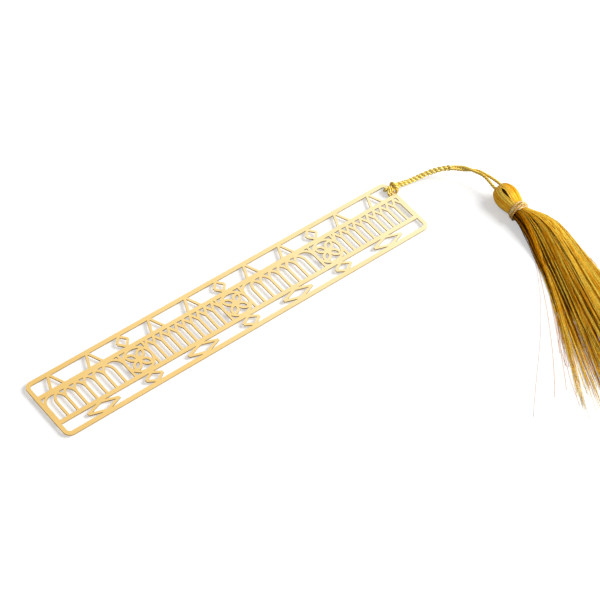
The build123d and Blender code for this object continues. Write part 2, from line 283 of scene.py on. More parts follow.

# Skirt: tones of the threads, their own random tones with painted light and shade laid over them
THREAD_TONE = 0.64
THREAD_TONE_SPREAD = 0.14
THREAD_TONE_LEAST = 0.03
# Painted shade: lower threads darker, as if shaded by the threads above, fading towards the tips
COVERED_SHADE = 0.6
COVERED_MIDDLE = 0.5
COVERED_REACH = 1.1
COVERED_FADE = 0.85
COVERED_FADE_RUN = (20.0, 35.0)
WISP_TONE = 0.34
WISP_TONE_ROOT = 0.75
WISP_TONE_RUN = (0.0, 25.0)
LOCK_TONE = 0.2
LOCK_TONE_SHARES = (0.2, 1.2)
# Painted light: locks lighter towards the outer edge, the side facing the lamp
LOCK_LIGHT_SLOPE = 0.06
LOCK_TONE_ROOT = 0.3
LOCK_TONE_GAIN = 0.7
LOCK_TONE_RUN = (8.0, 25.0)
# Painted light: tips paler, as where light comes through the thin threads
TIP_PAINTED_LIGHT = 0.36
TIP_PAINTED_LIGHT_RUN = (28.0, 30.0)
# Painted light: both rims paler, as where the silk is lit through from behind
INNER_RIM_PAINTED_LIGHT = 0.16
INNER_RIM_RUN = (0.75, 0.2)
INNER_RIM_ALONG_RUN = (0.0, 15.0)
OUTER_RIM_PAINTED_LIGHT = 0.3
OUTER_RIM_RUN = (0.45, 0.4)
# Painted light: the inner tips paler still
INNER_TIP_PAINTED_LIGHT = 0.2
INNER_TIP_RUN = (0.45, 0.3)
INNER_TIP_ALONG_RUN = (30.0, 15.0)
# Painted shade: a dark band down the inner part of the fan
BAND_SHADE = 0.5
BAND_PLACE = 0.62
BAND_DRIFT = 0.22
BAND_DRIFT_RUN = (15.0, 30.0)
BAND_WIDTH = 0.3
BAND_FLARE = 0.3
BAND_FLARE_RUN = (0.0, 25.0)
BAND_FADE = 0.65
BAND_FADE_RUN = (8.0, 35.0)

# Stray hairs at the inner edge: where each long one leaves the edge, its length, and how far it strays
LONG_HAIRS = [(12.0, 51.0, 0.9), (9.0, 50.0, 0.55), (24.0, 34.0, 0.3), (33.0, 31.0, 0.1)]
SHORT_HAIRS = 7
SHORT_HAIR_STARTS = (20.0, 40.0)
SHORT_HAIR_LENGTHS = (16.0, 28.0)
SHORT_HAIR_STRAYS = (0.0, 0.16)
HAIR_EDGE = (-0.98, -0.9)
HAIR_POWER = 0.75
HAIR_WAVE = 0.05
HAIR_WAVES = (3.0, 7.0)
HAIR_HEIGHT = 0.02
HAIR_RADII = (0.045, 0.065)
HAIR_TONES = (0.4, 0.7)

# Short stray hairs that make the outer edge fuzzy
OUTER_STRAYS = 500
STRAY_STATIONS = 9
STRAY_STARTS = (1.0, 40.0)
STRAY_LENGTHS = (10.0, 28.0)
STRAY_EDGE = (0.7, 1.0)
STRAY_OUT = (-0.05, 0.22)
STRAY_POWER = 1.5
STRAY_HEIGHTS = (0.1, 1.0)
STRAY_DROP = 0.4
STRAY_RADII = (0.045, 0.075)
# Pale tones: painted light of a rim lit from behind
STRAY_TONES = (0.7, 1.0)

# Map cells of tubes: start and width round a tube, start and length along it, and its two caps
CELL_ROUND = (0.05, 0.9)
CELL_ALONG = (0.08, 0.84)
CAP_MIDDLE = 0.5
CAP_LOW = 0.035
CAP_HIGH = 0.965
CAP_ROUND = 0.3
CAP_ALONG = 0.028

# Colours of the silks, from the deepest tone to the palest
CORD_STOPS = [
    (0.0, (0.24, 0.11, 0.003)), (0.4, (0.68, 0.45, 0.07)), (0.7, (0.88, 0.62, 0.12)),
    (1.0, (1.0, 0.86, 0.32)),
]
THREAD_STOPS = [
    (0.0, (0.03, 0.009, 0.0)), (0.3, (0.30, 0.096, 0.0)), (0.6, (0.79, 0.275, 0.0)),
    (0.85, (1.0, 0.46, 0.003)), (1.0, (1.0, 0.74, 0.1)),
]
FOLDED_STOPS = [
    (0.0, (0.04, 0.01, 0.0)), (0.3, (0.36, 0.13, 0.0)), (0.6, (0.80, 0.35, 0.005)),
    (0.85, (1.0, 0.56, 0.03)), (1.0, (1.0, 0.78, 0.14)),
]
BINDING_STOPS = [
    (0.0, (0.24, 0.10, 0.01)), (0.45, (0.80, 0.46, 0.11)), (0.75, (1.0, 0.78, 0.36)),
    (1.0, (1.0, 0.95, 0.74)),
]
# Each silk: colours, noise scale, mottling, roughness, gloss and share of metal.
SILKS = {
    "cord_silk": (CORD_STOPS, 900.0, 0.1, 0.36, 0.5, 0.15),
    "thread_silk": (THREAD_STOPS, 420.0, 0.15, 0.28, 0.14, 0.32),
    "folded_silk": (FOLDED_STOPS, 300.0, 0.1, 0.3, 0.45, 0.25),
    "gold_thread": (BINDING_STOPS, 700.0, 0.1, 0.3, 0.6, 0.5),
}
SILK_DETAIL = 3.0
SILK_FINE_TIMES = 6
SILK_FINE_DETAIL = 2.0
SILK_SMOOTHER = 0.08
SILK_ROUGHER = 0.1
SILK_BUMP = (0.25, 0.00004)
SILK_TINT = (1.0, 0.74, 0.2, 1.0)
NOISE_RANGE = (0.3, 0.7)

# Brass: places in metres, colours along the plate with a painted reflection that pales it towards the
# tassel's end, clouds, grain, and painted shade on the etched walls
PLATE_ENDS = (-0.0633, 0.0617)
BRASS_AND_REFLECTION_STOPS = [(0.0, (0.86, 0.57, 0.19)), (0.45, (0.94, 0.69, 0.29)), (1.0, (1.0, 0.88, 0.53))]
BRASS_METALLIC = 0.85
CLOUD_SCALE = 55.0
CLOUD_DETAIL = 3.0
CLOUD_SHIFT = (-0.09, 0.09)
GRAIN_SCALE = 900.0
GRAIN_DETAIL = 2.0
GRAIN_STRETCH = (0.06, 1.0, 1.0)
GRAIN_RANGE = (0.35, 0.75)
GRAIN_DEPTH = (0.0, 0.22)
GRAIN_COLOUR = (0.62, 0.38, 0.10)
GRAIN_ROUGHNESS = (0.26, 0.4)
GRAIN_BUMP = (0.15, 0.00002)
# Painted shade on the steep etched walls: the slopes it spans, how deep it goes, and its colour
WALL_SLOPE = (0.3, 0.8)
WALL_SHADE_DEPTH = (0.75, 0.0)
WALL_SHADE_COLOUR = (0.55, 0.31, 0.08)


# Geometry
def spline_points(control, steps=SPLINE_STEPS):
    """The points of the smooth spline with these control points, in their unit."""
    data = bpy.data.curves.new("route", "CURVE")
    data.dimensions = "3D"
    spline = data.splines.new("NURBS")
    spline.points.add(len(control) - 1)
    for point, place in zip(spline.points, control):
        point.co = (*place, 1.0)
    spline.order_u = 3
    spline.use_endpoint_u = True
    spline.resolution_u = steps
    carrier = bpy.data.objects.new("route", data)
    mesh = bpy.data.meshes.new_from_object(carrier)
    line = np.array([v.co for v in mesh.vertices], float)
    bpy.data.meshes.remove(mesh)
    bpy.data.objects.remove(carrier)
    bpy.data.curves.remove(data)
    return line


def unit(v):
    return v / np.maximum(np.linalg.norm(v, axis=-1, keepdims=True), 1e-12)


def eased(value, start, run):
    """0 up to start, 1 from the end of the run on, and a smooth step between."""
    t = np.clip((value - start) / run, 0.0, 1.0)
    return t * t * (3 - 2 * t)


def wrapped(angle):
    return (angle + math.pi) % TURN - math.pi


def column(values):
    return np.reshape(values, (-1, 1))


def lengths(line):
    """The run along a line at each of its points."""
    return np.concatenate([[0.0], np.cumsum(np.linalg.norm(np.diff(line, axis=0), axis=1))])


def carried_side(line, first):
    """A side vector carried along a line without twisting."""
    tangent = unit(np.gradient(line, axis=0))
    side = np.zeros_like(line)
    now = np.array(first, float)
    for i, t in enumerate(tangent):
        now = unit(now - t * (now @ t))
        side[i] = now
    return side


def round_about(line, side, distance, angle):
    """A line that circles another at a distance and angle, and the way out to it."""
    tangent = unit(np.gradient(line, axis=0))
    across = np.cross(tangent, side)
    out = side * np.cos(angle)[:, None] + across * np.sin(angle)[:, None]
    return line + out * np.reshape(distance, (-1, 1)), out


def plies(line, side, phase, swell=1.0):
    """The plies laid round a strand's line, with the way out of each."""
    offset = PLY_OFFSET * swell * np.ones(len(line))
    lay = -TURN * lengths(line) / PLY_PITCH + phase
    made = [round_about(line, side, offset, lay + TURN * k / PLIES) for k in range(PLIES)]
    return np.array([m[0] for m in made]), np.array([m[1] for m in made])


def tassel_place(radius, angle, along):
    """Points round the tassel's axis. Angle 0 is up, and it grows towards the camera's side."""
    radius, angle, along = (np.asarray(x, float)[..., None] for x in (radius, angle, along))
    return NOD + TASSEL_AXIS * along + radius * (TASSEL_UP * np.cos(angle) - NOD_AXIS * np.sin(angle))


def above_table(lines, clearance):
    """The same lines, pressed flat where they would dip under the table."""
    lines[..., 2] = np.maximum(lines[..., 2], clearance)
    return lines


def skin_quads(count, stations, sides):
    """Point numbers of skins that close round their sides, and their faces."""
    index = np.arange(count * stations * sides).reshape(count, stations, sides)
    after = np.roll(index, -1, axis=2)
    quads = np.stack([index[:, :-1], after[:, :-1], after[:, 1:], index[:, 1:]], axis=-1)
    return index, quads.reshape(-1, 4)


def skin_map(u, v):
    """Map places of those faces' corners, from places round and along each skin."""
    grid = np.zeros((len(u), v.shape[1], u.shape[1], 2))
    grid[..., 0] = u[:, None, :]
    grid[..., 1] = v[:, :, None]
    corners = [grid[:, :-1, :-1], grid[:, :-1, 1:], grid[:, 1:, 1:], grid[:, 1:, :-1]]
    return np.stack(corners, axis=3).reshape(-1, 4, 2)


def tube_set(lines, radii, aside, sides, tone, groove_shade=0.0, strand=None):
    """Closed tubes on lines of equal length, whose tone is darkened on the inner side by painted shade."""
    count, stations, _ = lines.shape
    tangent = unit(np.gradient(lines, axis=1))
    up = unit(np.cross(tangent, aside))
    flat = np.cross(up, tangent)
    turn = TURN * np.arange(sides) / sides
    ring = flat[:, :, None, :] * np.cos(turn)[:, None] + up[:, :, None, :] * np.sin(turn)[:, None]
    points = lines[:, :, None, :] + ring * radii[:, :, None, None]
    index, quads = skin_quads(count, stations, sides)
    rows = max(1, round(math.sqrt(count * sides / stations)))
    columns = math.ceil(count / rows)
    cell_row, cell_column = np.divmod(np.arange(count), columns)
    start, width = CELL_ROUND
    u = (cell_column[:, None] + start + width * np.arange(sides + 1) / sides) / columns
    start, length = CELL_ALONG
    v = (cell_row[:, None] + start + length * np.arange(stations) / (stations - 1)) / rows
    caps = np.concatenate([index[:, 0, ::-1], index[:, -1]])
    cap_ring = np.stack([np.cos(turn), np.sin(turn)], axis=-1)
    low = np.stack([(cell_column + CAP_MIDDLE) / columns, (cell_row + CAP_LOW) / rows], axis=-1)
    high = np.stack([(cell_column + CAP_MIDDLE) / columns, (cell_row + CAP_HIGH) / rows], axis=-1)
    size = np.array((CAP_ROUND / columns, CAP_ALONG / rows))
    cap_map = np.concatenate([low[:, None] + cap_ring[::-1] * size, high[:, None] + cap_ring * size])
    return {
        "points": points.reshape(-1, 3),
        "faces": [(quads, skin_map(u, v)), (caps, cap_map)],
        "tone": (tone[:, :, None] - groove_shade * (1 - np.cos(turn)) / 2).ravel(),
        "strand": np.repeat(np.zeros(count) if strand is None else strand, stations * sides),
    }


def ply_tubes(laid, out, tone, swell=1.0):
    """Tubes on a cord's plies, with painted shade in the grooves between them."""
    shape = laid.shape[:2]
    radii = np.full(shape, PLY_RADIUS) * swell
    return tube_set(laid, radii, out, PLY_SIDES, tone * np.ones(shape), PLY_GROOVE_SHADE)


def lathe_set(profile, angles, dent, tone):
    """A skin turned about the tassel's axis, pushed in by dent, open at both ends."""
    rings = []
    for radius, along in profile:
        rings.append(tassel_place(radius - dent(angles, along), angles, np.full(len(angles), along)))
    stations, sides = len(rings), len(angles)
    u = np.arange(sides + 1)[None] / sides
    v = np.arange(stations)[None] / (stations - 1)
    return {
        "points": np.concatenate(rings),
        "faces": [(skin_quads(1, stations, sides)[1], skin_map(u, v))],
        "tone": np.full(stations * sides, tone),
        "strand": np.zeros(stations * sides),
    }


def make_piece(name, sets, material):
    """One mesh piece from sets of tubes or skins in millimetres."""
    points, faces, places, base = [], [], [], 0
    for band, part in enumerate(sets):
        points.append(part["points"])
        for corners, place in part["faces"]:
            faces += (corners + base).tolist()
            place = place.copy()
            place[..., 1] = (place[..., 1] + band) / len(sets)
            places.append(place.reshape(-1, 2))
        base += len(part["points"])
    mesh = bpy.data.meshes.new(name)
    mesh.from_pydata((np.concatenate(points) * MM).tolist(), [], faces)
    mesh.shade_smooth()
    for kind in ("tone", "strand"):
        values = np.concatenate([part[kind] for part in sets])
        mesh.attributes.new(kind, "FLOAT", "POINT").data.foreach_set("value", values.astype(np.float32))
    layer = mesh.uv_layers.new(name="OFBake")
    layer.data.foreach_set("uv", np.concatenate(places).astype(np.float32).ravel())
    mesh.materials.append(material)
    mesh.validate()
    piece = bpy.data.objects.new(name, mesh)
    bpy.context.scene.collection.objects.link(piece)
    return piece


# Materials
def new_material(name):
    material = bpy.data.materials.new(name)
    material.use_nodes = True
    tree = material.node_tree
    return material, tree.nodes, tree.links, tree.nodes["Principled BSDF"]


def ramp_node(nodes, links, factor, stops):
    """Colours at stops along a factor."""
    node = nodes.new("ShaderNodeValToRGB")
    elements = node.color_ramp.elements
    while len(elements) < len(stops):
        elements.new(0.5)
    for element, (place, colour) in zip(elements, stops):
        element.position = place
        element.color = (*colour, 1.0)
    links.new(factor, node.inputs["Fac"])
    return node.outputs["Color"]


def noise_node(nodes, links, scale, detail, stretch=None):
    """Noise on the object's own coordinates, stretched if asked."""
    places = nodes.new("ShaderNodeTexCoord").outputs["Object"]
    noise = nodes.new("ShaderNodeTexNoise")
    noise.inputs["Scale"].default_value = scale
    noise.inputs["Detail"].default_value = detail
    if stretch:
        mapping = nodes.new("ShaderNodeMapping")
        mapping.inputs["Scale"].default_value = stretch
        links.new(places, mapping.inputs["Vector"])
        places = mapping.outputs["Vector"]
    links.new(places, noise.inputs["Vector"])
    return noise


def range_node(nodes, links, source, span, result):
    """A value's span mapped to the span of the result."""
    node = nodes.new("ShaderNodeMapRange")
    for socket, value in zip(("From Min", "From Max", "To Min", "To Max"), (*span, *result)):
        node.inputs[socket].default_value = value
    links.new(source, node.inputs["Value"])
    return node.outputs["Result"]


def math_node(nodes, links, operation, *sources):
    node = nodes.new("ShaderNodeMath")
    node.operation = operation
    for source, socket in zip(sources, node.inputs):
        links.new(source, socket)
    return node


def axis_value(nodes, links, vector, axis):
    node = nodes.new("ShaderNodeSeparateXYZ")
    links.new(vector, node.inputs[0])
    return node.outputs[axis]


def attribute_value(nodes, name):
    node = nodes.new("ShaderNodeAttribute")
    node.attribute_name = name
    return node.outputs["Fac"]


def mixed_with(nodes, links, factor, first, colour):
    """A colour socket mixed with a plain colour by a factor."""
    node = nodes.new("ShaderNodeMix")
    node.data_type = "RGBA"
    links.new(factor, node.inputs[0])
    links.new(first, node.inputs[6])
    node.inputs[7].default_value = (*colour, 1.0)
    return node.outputs[2]


def bump_surface(nodes, links, shader, height, strength, distance):
    bump = nodes.new("ShaderNodeBump")
    bump.inputs["Strength"].default_value = strength
    bump.inputs["Distance"].default_value = distance
    links.new(height, bump.inputs["Height"])
    links.new(bump.outputs["Normal"], shader.inputs["Normal"])


def silk_material(name, stops, noise_scale, mottled, roughness, gloss, metallic):
    """Lustrous thread: each strand's tone through a ramp, mottled along its length."""
    material, nodes, links, shader = new_material(name)
    noise = noise_node(nodes, links, noise_scale, SILK_DETAIL)
    noise.noise_dimensions = "4D"
    links.new(attribute_value(nodes, "strand"), noise.inputs["W"])
    mottle = range_node(nodes, links, noise.outputs["Fac"], NOISE_RANGE, (-mottled, mottled))
    total = math_node(nodes, links, "ADD", attribute_value(nodes, "tone"), mottle)
    total.use_clamp = True
    links.new(ramp_node(nodes, links, total.outputs[0], stops), shader.inputs["Base Color"])
    fine = noise_node(nodes, links, noise_scale * SILK_FINE_TIMES, SILK_FINE_DETAIL).outputs["Fac"]
    rough_range = (roughness - SILK_SMOOTHER, roughness + SILK_ROUGHER)
    links.new(range_node(nodes, links, fine, NOISE_RANGE, rough_range), shader.inputs["Roughness"])
    bump_surface(nodes, links, shader, fine, *SILK_BUMP)
    shader.inputs["Specular Tint"].default_value = SILK_TINT
    shader.inputs["Specular IOR Level"].default_value = gloss
    shader.inputs["Metallic"].default_value = metallic
    return material


def brass_material():
    """Bright etched sheet, with a painted reflection that pales it towards the tassel's end, and painted
    shade that darkens the etched walls.
    """
    material, nodes, links, shader = new_material("etched_brass")
    place = axis_value(nodes, links, nodes.new("ShaderNodeTexCoord").outputs["Object"], "X")
    # Painted reflection: the brass colour pales along the plate towards the tassel's end
    along = range_node(nodes, links, place, PLATE_ENDS, (0.0, 1.0))
    cloud = noise_node(nodes, links, CLOUD_SCALE, CLOUD_DETAIL).outputs["Fac"]
    shift = range_node(nodes, links, cloud, NOISE_RANGE, CLOUD_SHIFT)
    shifted = math_node(nodes, links, "ADD", along, shift)
    brass_and_reflection = ramp_node(nodes, links, shifted.outputs[0], BRASS_AND_REFLECTION_STOPS)
    grain = noise_node(nodes, links, GRAIN_SCALE, GRAIN_DETAIL, GRAIN_STRETCH).outputs["Fac"]
    grain_depth = range_node(nodes, links, grain, GRAIN_RANGE, GRAIN_DEPTH)
    grained = mixed_with(nodes, links, grain_depth, brass_and_reflection, GRAIN_COLOUR)
    # Painted shade: steep faces are mixed towards a dark brown
    normal = nodes.new("ShaderNodeNewGeometry").outputs["True Normal"]
    level = math_node(nodes, links, "ABSOLUTE", axis_value(nodes, links, normal, "Z"))
    wall_shade = range_node(nodes, links, level.outputs[0], WALL_SLOPE, WALL_SHADE_DEPTH)
    links.new(mixed_with(nodes, links, wall_shade, grained, WALL_SHADE_COLOUR), shader.inputs["Base Color"])
    links.new(range_node(nodes, links, grain, NOISE_RANGE, GRAIN_ROUGHNESS), shader.inputs["Roughness"])
    bump_surface(nodes, links, shader, grain, *GRAIN_BUMP)
    shader.inputs["Metallic"].default_value = BRASS_METALLIC
    return material


silks = {name: silk_material(name, *spec) for name, spec in SILKS.items()}

# Camera
back = Vector((
    math.sin(CAMERA_AZIMUTH) * math.cos(CAMERA_ELEVATION),
    -math.cos(CAMERA_AZIMUTH) * math.cos(CAMERA_ELEVATION),
    math.sin(CAMERA_ELEVATION),
))
level_right = Vector((0, 0, 1)).cross(back).normalized()
level_up = back.cross(level_right)
right = level_right * math.cos(CAMERA_ROLL) + level_up * math.sin(CAMERA_ROLL)
up = level_up * math.cos(CAMERA_ROLL) - level_right * math.sin(CAMERA_ROLL)
camera = bpy.data.objects.new("camera", bpy.data.cameras.new("camera"))
bpy.context.scene.collection.objects.link(camera)
camera.data.sensor_width = SENSOR_WIDTH
camera.data.lens = FOCAL_LENGTH
camera.data.clip_start = CLIP_START
camera.data.clip_end = CLIP_END
placed = Matrix((right, up, back)).transposed().to_4x4()
placed.translation = (CAMERA_TARGET + back * CAMERA_DISTANCE) * MM
camera.matrix_world = placed
bpy.context.scene.camera = camera

# Doubled cord: two strands of three plies, twisted tight, then loose, then parted
route = spline_points([EXIT + np.array(p) for p in CORD_ROUTE], CORD_STEPS)
run = lengths(route)
heading = unit(np.gradient(route, axis=0))
level_side = unit(np.cross(heading, np.array((0.0, 0.0, 1.0))))
turns = TIGHT_TURNS * np.clip(run / TIGHT_LENGTH, 0, 1)
turns = turns + LOOSE_TURNS * eased(run, TIGHT_LENGTH, LOOSE_LENGTH)
parted = eased(run - run[-1], -LEG_LENGTH, LEG_LENGTH)
half_gap = STRAND_HALF_GAP + EXIT_GAP * (1 - eased(run, *EXIT_GAP_RUN))
half_gap = half_gap + (LEG_HALF_GAP - STRAND_HALF_GAP) * parted
strands = []
for k in range(2):
    strand_out = round_about(route, level_side, half_gap, TURN * turns + math.pi * k)[1]
    strand_out = unit(strand_out + parted[:, None] * ((2 * k - 1) * NOD_AXIS - strand_out))
    strand = route + strand_out * half_gap[:, None]
    strands.append(plies(strand, carried_side(strand, level_side[0]), k * STRAND_PHASE))
cord_plies, cord_out = (np.concatenate(group) for group in zip(*strands))
cord_tone = rng.uniform(-CORD_TONE_SPREAD, CORD_TONE_SPREAD, len(cord_plies))
cord_tone = np.interp(run, *CORD_TONES) + column(cord_tone)
cord_tubes = ply_tubes(cord_plies, cord_out, cord_tone)
cord = make_piece("doubled_cord", [cord_tubes], silks["cord_silk"])

# Hitch: the same cord looped round the end bar
hitch_control = [BAR + np.array(p) for p in HITCH_HALF]
hitch_control += [BAR + np.array((x, -y, z)) for x, y, z in reversed(HITCH_HALF)]
hitch_line = spline_points(hitch_control, CORD_STEPS)
to_exit = BAR[0] + HITCH_SWELL_END - hitch_line[:, 0]
hitch_above = eased(hitch_line[:, 2], BAR[2], HITCH_SWELL_RISE) * eased(to_exit, 0.0, HITCH_SWELL_FADE)
swell = 1 + HITCH_SWELL * hitch_above
hitch_plies, hitch_out = plies(hitch_line, carried_side(hitch_line, (0.0, 1.0, 0.0)), HITCH_PHASE, swell)
hitch_plies = above_table(hitch_plies, PLY_RADIUS)
hitch_tubes = ply_tubes(hitch_plies, hitch_out, column(rng.uniform(*HITCH_TONES, PLIES)), swell)
hitch = make_piece("hitch_rope", [hitch_tubes], silks["cord_silk"])

# Stopper knot in the head, with its two legs up to the nod pivot
knot_control = [tassel_place(radius, -QUARTER, along) for radius, along in KNOT_LEG]
for i in range(KNOT_TURNS * KNOT_TURN_POINTS + 1):
    turned = i / KNOT_TURN_POINTS
    along = KNOT_START + turned * KNOT_PITCH + (0.0 if i % 2 else KNOT_STAGGER)
    knot_control.append(tassel_place(KNOT_RADIUS, -QUARTER - TURN * i / KNOT_TURN_POINTS, along))
knot_control += [tassel_place(*place) for place in KNOT_RETURN]
knot_control += [tassel_place(radius, QUARTER, along) for radius, along in reversed(KNOT_LEG)]
knot_line = spline_points(knot_control)
knot_plies, knot_out = plies(knot_line, carried_side(knot_line, TASSEL_UP), KNOT_PHASE)
knot_tubes = ply_tubes(knot_plies, knot_out, column(rng.uniform(*KNOT_TONES, PLIES)))
knot = make_piece("stopper_knot", [knot_tubes], silks["cord_silk"])


# Head: folded threads in bundles over a near-black skin of painted shade, with a parting
def parting_width(along):
    """Half width of the parting, pointed at both ends and widest near its top."""
    t = np.clip((along - PARTING_FROM) / (PARTING_TO - PARTING_FROM), 0, 1)
    opened = np.sqrt(np.clip(t / PARTING_POINT, 0, 1))
    return PARTING_HALF_WIDTH * opened * (1 - eased(t, *PARTING_CLOSE_RUN))


def core_dent(angles, along):
    """How far the near-black skin of painted shade lies under the threads, deeper in the parting."""
    width = parting_width(along)
    aside = np.abs(wrapped(angles - PARTING_ANGLE)) * CORE_PARTING_RADIUS
    near = np.clip(1 - aside / (width * CORE_PARTING_EASE + 1e-6), 0, 1)
    return CORE_SINK + CORE_PARTING_SINK * near * (width > CORE_PARTING_LEAST)


profile = spline_points([(radius, along, 0.0) for radius, along in HEAD_PROFILE])[:, :2]
profile_run = lengths(profile)
profile_stops = np.linspace(0, profile_run[-1], HEAD_STATIONS)
profile_radius = np.interp(profile_stops, profile_run, profile[:, 0])
profile_along = np.interp(profile_stops, profile_run, profile[:, 1])

bundle_edges = np.sort(rng.uniform(0, 1, HEAD_BUNDLES))
bundle_edges = EVEN_BUNDLES * np.arange(HEAD_BUNDLES) / HEAD_BUNDLES + (1 - EVEN_BUNDLES) * bundle_edges
bundle_edges = TURN * bundle_edges
bundle_widths = np.append(bundle_edges[1:], bundle_edges[0] + TURN) - bundle_edges
bundle_tone = rng.uniform(-BUNDLE_TONE, BUNDLE_TONE, HEAD_BUNDLES)
base_angle = np.arange(HEAD_THREADS) + rng.uniform(-HEAD_JITTER, HEAD_JITTER, HEAD_THREADS)
base_angle = np.mod(TURN * base_angle / HEAD_THREADS, TURN)
bundle = np.searchsorted(bundle_edges, base_angle, side="right") - 1
across = np.mod(base_angle - bundle_edges[bundle], TURN) / bundle_widths[bundle] * 2 - 1
gathered = BUNDLE_GATHER * column(across * bundle_widths[bundle] / 2)
head_angle = column(base_angle) - gathered * np.ones(HEAD_STATIONS)
wander = rng.normal(0, HEAD_WANDER, (HEAD_THREADS, 2))
wave = HEAD_WAVES * profile_along / HEAD_WAVES_LENGTH
head_angle = head_angle + wander[:, :1] * np.sin(wave + TURN * wander[:, 1:])
from_parting = wrapped(head_angle - PARTING_ANGLE)
width_angle = parting_width(profile_along) / np.maximum(profile_radius, 1.0)
pushed = np.sign(from_parting) * width_angle * np.exp(-np.abs(from_parting) / PARTING_PUSH)
head_angle = head_angle + pushed
head_radius = profile_radius + BUNDLE_CROWN * (1 - column(across) ** 2) - HEAD_SINK
head_radius = head_radius + rng.uniform(-HEAD_UNEVEN, HEAD_UNEVEN, (HEAD_THREADS, 1))
head_lines = tassel_place(head_radius, head_angle, np.broadcast_to(profile_along, head_radius.shape))
head_lines = above_table(head_lines, TABLE_CLEARANCE)
head_aside = tassel_place(np.ones_like(head_angle), head_angle + QUARTER, np.zeros_like(head_angle)) - NOD
head_tone = HEAD_TONE + bundle_tone[bundle] + rng.normal(0, HEAD_TONE_SPREAD, HEAD_THREADS)
# Painted shade between the bundles
head_tone = head_tone - BUNDLE_EDGE_SHADE * np.abs(across) ** BUNDLE_EDGE_POWER
head_tone = np.repeat(column(np.clip(head_tone, HEAD_TONE_LEAST, 1)), HEAD_STATIONS, axis=1)
head_radii = np.repeat(column(rng.uniform(*HEAD_THREAD_RADII, HEAD_THREADS)), HEAD_STATIONS, axis=1)
head_tubes = tube_set(head_lines, head_radii, head_aside, HEAD_SIDES, head_tone)
core_angles = TURN * np.arange(CORE_SIDES) / CORE_SIDES
head_shade_core = lathe_set(list(zip(profile_radius, profile_along)), core_angles, core_dent, CORE_SHADE_TONE)
head = make_piece("head_threads", [head_tubes, head_shade_core], silks["folded_silk"])


# Neck: irregular turns of gold thread
def wrap_line(start, end, first_angle, turn_count, lift, wobble):
    """Control points of a winding that goes from start to end with uneven turns."""
    steps = turn_count * WRAP_POINTS
    t = np.arange(steps + 1) / steps
    turned = TURN * t * turn_count
    sway = np.sin(turned + 2 * first_angle)
    sway = sway + WRAP_SECOND_WAVE * np.sin(turned * WRAP_SECOND_RATE + first_angle)
    along = np.clip(start + (end - start) * t + wobble * sway, NECK_FROM, NECK_TO)
    radius = NECK_RADIUS + lift + WRAP_LIFT_WAVE * np.sin(turned * WRAP_LIFT_RATE + first_angle)
    return tassel_place(radius, first_angle + TURN * turn_count * t, along)


wraps = []
for winding in WINDINGS:
    line = spline_points(wrap_line(*winding))
    side = carried_side(line, TASSEL_AXIS)
    wrap_run = lengths(line)
    distance = np.full(len(line), WRAP_PLY_OFFSET)
    lay = TURN * wrap_run / WRAP_PLY_PITCH
    laid = [round_about(line, side, distance, lay + math.pi * k) for k in range(WRAP_PLIES)]
    lines, outs = (np.array(group)[:, ::WRAP_KEPT] for group in zip(*laid))
    lines = above_table(lines, TABLE_CLEARANCE)
    # Painted highlights along the winding
    painted_shine = WRAP_PAINTED_SHINE * np.sin(wrap_run[::WRAP_KEPT] * WRAP_PAINTED_SHINE_RATE + winding[2])
    tone = np.clip(WRAP_TONE + painted_shine + rng.normal(0, WRAP_TONE_SPREAD, lines.shape[:2]), 0, 1)
    wraps.append(tube_set(lines, np.full(lines.shape[:2], WRAP_RADIUS), outs, WRAP_SIDES, tone))
neck = make_piece("neck_wrap", wraps, silks["gold_thread"])

# Skirt: fine threads gathered in locks that fan out over the table
forward = np.array((math.cos(SKIRT_HEADING), math.sin(SKIRT_HEADING), 0.0))
sideways = np.array((-forward[1], forward[0], 0.0))
foot = NOD + TASSEL_AXIS * NECK_TO


def fan_middle(s):
    return FAN_SHIFT * (1 - np.exp(-s / FAN_SHIFT_LENGTH)) - FAN_DRIFT * s


def fan_half(s):
    widening = FAN_WIDENING * s * (1 - np.exp(-s / FAN_WIDENING_LENGTH))
    shoulder = FAN_SHOULDER * s / FAN_SHOULDER_LENGTH * np.exp(1 - s / FAN_SHOULDER_LENGTH)
    return FAN_START + widening + shoulder


def fan_depth(s):
    return FAN_DEPTH * np.exp(-s / FAN_DEPTH_LENGTH) * (1 - FAN_DEPTH_LOSS * s / SKIRT_LENGTH)


def crest(across):
    """Height across the fan: a crest past the middle, an easy outer slope and a steep inner one."""
    outer_slope = 1 - CREST_OUTER_DROP * np.clip(across - CREST_PLACE, 0, 1) ** CREST_OUTER_POWER
    inner_slope = 1 - CREST_INNER_DROP * eased(CREST_PLACE - across, *CREST_INNER_RUN)
    return np.where(across > CREST_PLACE, outer_slope, inner_slope)


def skirt_points(s, across, height):
    """Points of the skirt at a run, a place across from -1 to 1, and a height from 0 to 1."""
    into_fan = eased(s, *FAN_RISE_RUN)
    ahead = np.maximum(s, 0.0)
    tall = 2 * height - 1
    root_side = ROOT_RADIUS * across * np.sqrt(np.clip(1 - ROOT_FLATNESS * tall ** 2, 0, 1))
    root_up = ROOT_RADIUS * tall * np.sqrt(np.clip(1 - ROOT_FLATNESS * across ** 2, 0, 1))
    fan_side = fan_middle(ahead) + fan_half(ahead) * across
    fan_up = TABLE_CLEARANCE + height * fan_depth(ahead) * crest(across)
    side = fan_side + (1 - eased(s, *FAN_SPREAD_RUN)) * (root_side - FAN_START * across)
    rise = into_fan * fan_up + (1 - into_fan) * (foot[2] + root_up)
    before = np.minimum(s, 0.0)[..., None]
    flat_foot = foot * np.array((1.0, 1.0, 0.0))
    place = flat_foot + ahead[..., None] * forward + side[..., None] * sideways + before * TASSEL_AXIS
    place[..., 2] = np.maximum(rise, TABLE_CLEARANCE)
    return place


